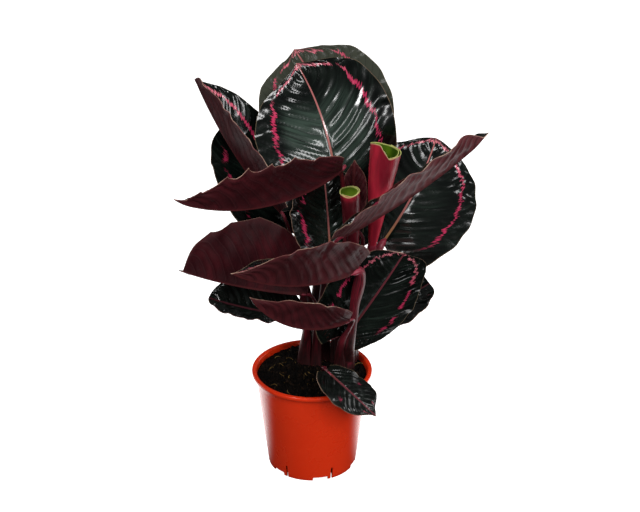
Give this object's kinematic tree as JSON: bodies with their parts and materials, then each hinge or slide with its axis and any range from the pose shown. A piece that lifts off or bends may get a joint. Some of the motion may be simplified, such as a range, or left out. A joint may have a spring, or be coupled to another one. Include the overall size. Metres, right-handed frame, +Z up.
{
  "type": "potted plant",
  "caption": "Potted calathea: dark patterned leaves with burgundy undersides on crimson stems, in a round orange plastic nursery pot with soil",
  "frame": {"origin": "centre of the flat foot under the pot, on the standing plane", "axes": "+Z up the pot's axis, -Y towards the side from which the leaves face the viewer, +X to that viewer's right"},
  "size_m": [0.2874, 0.2728, 0.4014],
  "materials": {
    "pot_plastic": "smooth terracotta orange plastic with a soft gloss",
    "soil_mix": "dark loose fibrous potting mix",
    "leaf_upper": "glossy dark green upper side with a grey-green middle and a pink band; burgundy underside",
    "leaf_under": "satin crimson underside of a rolled leaf, lime green inside",
    "stem_red": "satin dark red stalk"
  },
  "bodies": {
    "root": {"pot": "pot_plastic", "soil": "soil_mix", "blade_crown_back": "leaf_upper", "stem_crown_back": "stem_red", "blade_crown_front": "leaf_upper", "stem_crown_front": "stem_red", "blade_left_folded": "leaf_upper", "stem_left_folded": "stem_red", "blade_left_upright": "leaf_upper", "stem_left_upright": "stem_red", "blade_left_wing": "leaf_upper", "stem_left_wing": "stem_red", "blade_left_round": "leaf_upper", "stem_left_round": "stem_red", "blade_middle_low": "leaf_upper", "stem_middle_low": "stem_red", "blade_front_low": "leaf_upper", "stem_front_low": "stem_red", "blade_left_low": "leaf_upper", "stem_left_low": "stem_red", "blade_right_wing": "leaf_upper", "stem_right_wing": "stem_red", "blade_right_face": "leaf_upper", "stem_right_face": "stem_red", "blade_right_low": "leaf_upper", "stem_right_low": "stem_red", "blade_right_back": "leaf_upper", "stem_right_back": "stem_red", "blade_rim_drooper": "leaf_upper", "stem_rim_drooper": "stem_red", "blade_centre_inner": "leaf_upper", "stem_centre_inner": "stem_red", "blade_centre_sliver": "leaf_upper", "stem_centre_sliver": "stem_red", "blade_tall_roll": "leaf_under", "stem_tall_roll": "stem_red", "blade_short_roll": "leaf_under", "stem_short_roll": "stem_red"}
  },
  "joints": []
}
